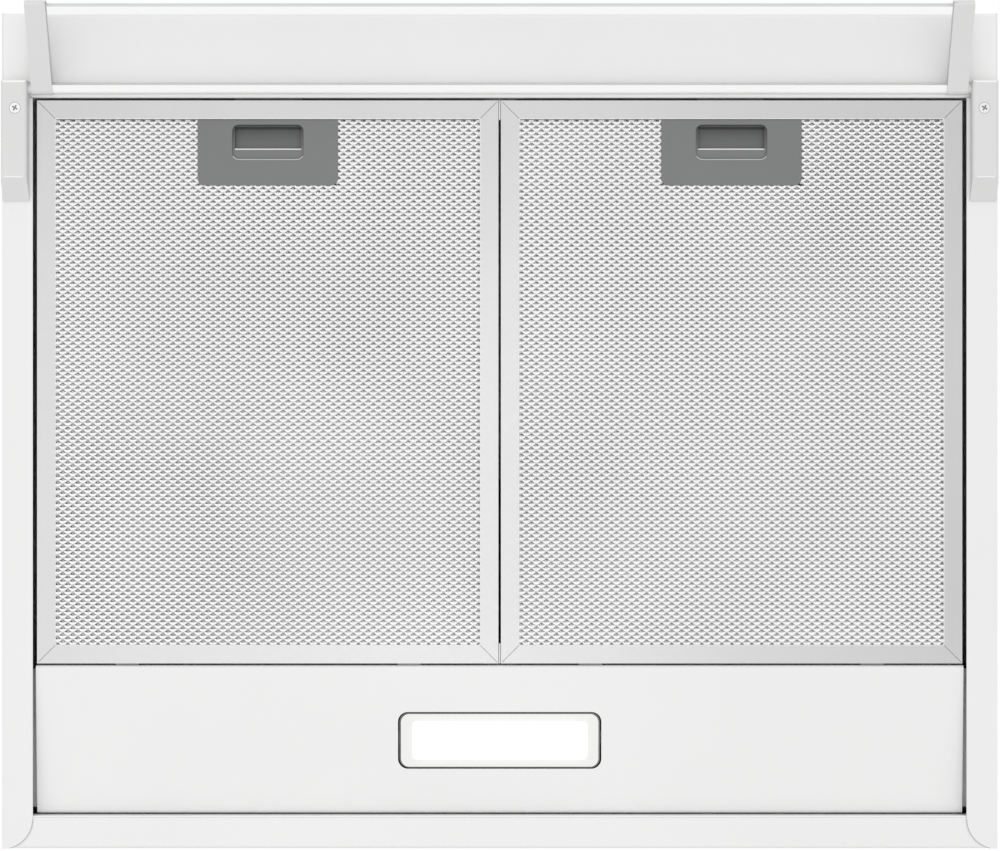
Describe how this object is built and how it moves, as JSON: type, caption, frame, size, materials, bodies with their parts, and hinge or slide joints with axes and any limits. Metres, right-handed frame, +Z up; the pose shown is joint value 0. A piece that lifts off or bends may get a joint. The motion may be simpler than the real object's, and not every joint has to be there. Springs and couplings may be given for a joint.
{
  "type": "range hood",
  "caption": "Wall-cabinet range hood with a white folded-steel body, swing-down grease filters, a tilting glass visor, a lamp, slide controls and a blower under a duct collar.",
  "frame": {"origin": "on the axis of the duct collar, in the top face of the roof that meets the cabinet", "axes": "+Z up out of the duct collar, -Y to the front, +X to the cook's right"},
  "size_m": [0.598, 0.5052, 0.1927],
  "materials": {
    "white_enamel": "gloss",
    "white_plastic": "satin",
    "lamp_diffuser": "satin",
    "clear_glass": "gloss",
    "filter_aluminium": "satin",
    "mesh_aluminium": "satin",
    "grey_plastic": "satin",
    "black_plastic": "matte",
    "wheel_plastic": "matte",
    "motor_steel": "satin",
    "screw_steel": "satin",
    "circuit_board": "satin",
    "soft_rubber": "matte"
  },
  "bodies": {
    "hood": {"roof_panel": "white_enamel", "front_fascia": "white_enamel", "rear_panel": "white_enamel", "side_panel_left": "white_enamel", "side_panel_right": "white_enamel", "lamp_panel": "white_enamel", "lamp_bezel": "white_plastic", "lamp_lens": "lamp_diffuser", "led_board": "circuit_board", "lamp_housing": "white_plastic", "centre_guide_front": "white_enamel", "centre_guide_rear": "white_enamel", "hinge_bracket_left": "white_plastic", "hinge_bracket_right": "white_plastic", "bracket_screws": "screw_steel", "duct_spigot": "black_plastic", "blower_casing_left": "black_plastic", "blower_casing_right": "black_plastic", "casing_screws": "screw_steel", "motor_body": "motor_steel", "motor_cradle": "motor_steel", "control_housing": "white_plastic", "switch_board": "circuit_board", "terminal_box": "white_plastic", "terminal_lid": "white_plastic", "cable_grommet": "soft_rubber", "led_driver": "white_plastic", "capacitor": "white_plastic", "capacitor_clip": "motor_steel"},
    "visor": {"visor_arm_left": "white_plastic", "visor_arm_right": "white_plastic", "visor_glass": "clear_glass", "visor_rail": "white_plastic"},
    "filter_left": {"filter_frame_left": "filter_aluminium", "filter_mesh_left": "mesh_aluminium", "filter_core_left": "mesh_aluminium", "latch_housing_left": "grey_plastic", "latch_spring_left": "screw_steel"},
    "latch_left": {"latch_slider_left": "grey_plastic"},
    "filter_right": {"filter_frame_right": "filter_aluminium", "filter_mesh_right": "mesh_aluminium", "filter_core_right": "mesh_aluminium", "latch_housing_right": "grey_plastic", "latch_spring_right": "screw_steel"},
    "latch_right": {"latch_slider_right": "grey_plastic"},
    "rotor": {"motor_shaft": "screw_steel", "fan_wheel_left": "wheel_plastic", "fan_wheel_right": "wheel_plastic"},
    "fan_slider": {"fan_slider_knob": "white_plastic"},
    "light_slider": {"light_slider_knob": "white_plastic"},
    "flap_front": {"damper_flap_front": "black_plastic"},
    "flap_rear": {"damper_flap_rear": "black_plastic"}
  },
  "joints": [
    {"name": "visor_tilt", "type": "hinge", "parent": "hood", "child": "visor", "pos_m": [0, -0.306, -0.136], "axis": [1, 0, 0], "range_deg": [-24, 60]},
    {"name": "filter_swing_left", "type": "hinge", "parent": "hood", "child": "filter_left", "pos_m": [-0.1395, 0.0388, -0.13], "axis": [1, 0, 0], "range_deg": [0, 70]},
    {"name": "latch_pull_left", "type": "slide", "parent": "filter_left", "child": "latch_left", "axis": [0, 1, 0], "range_m": [0, 0.006], "stiffness_N_per_m": 900, "springref_m": -0.002, "deforming": ["latch_spring_left"]},
    {"name": "filter_swing_right", "type": "hinge", "parent": "hood", "child": "filter_right", "pos_m": [0.1395, 0.0388, -0.13], "axis": [1, 0, 0], "range_deg": [0, 70]},
    {"name": "latch_pull_right", "type": "slide", "parent": "filter_right", "child": "latch_right", "axis": [0, 1, 0], "range_m": [0, 0.006], "stiffness_N_per_m": 900, "springref_m": -0.002, "deforming": ["latch_spring_right"]},
    {"name": "fan_spin", "type": "hinge", "parent": "hood", "child": "rotor", "pos_m": [0, 0.068, -0.055], "axis": [1, 0, 0], "continuous": true},
    {"name": "fan_speed_slide", "type": "slide", "parent": "hood", "child": "fan_slider", "axis": [1, 0, 0], "range_m": [0, 0.024]},
    {"name": "light_slide", "type": "slide", "parent": "hood", "child": "light_slider", "axis": [1, 0, 0], "range_m": [-0.008, 0]},
    {"name": "flap_front_lift", "type": "hinge", "parent": "hood", "child": "flap_front", "pos_m": [0, -0.0026, 0.0044], "axis": [-1, 0, 0], "range_deg": [0, 80]},
    {"name": "flap_rear_lift", "type": "hinge", "parent": "hood", "child": "flap_rear", "pos_m": [0, 0.0026, 0.0044], "axis": [1, 0, 0], "range_deg": [0, 80]}
  ]
}
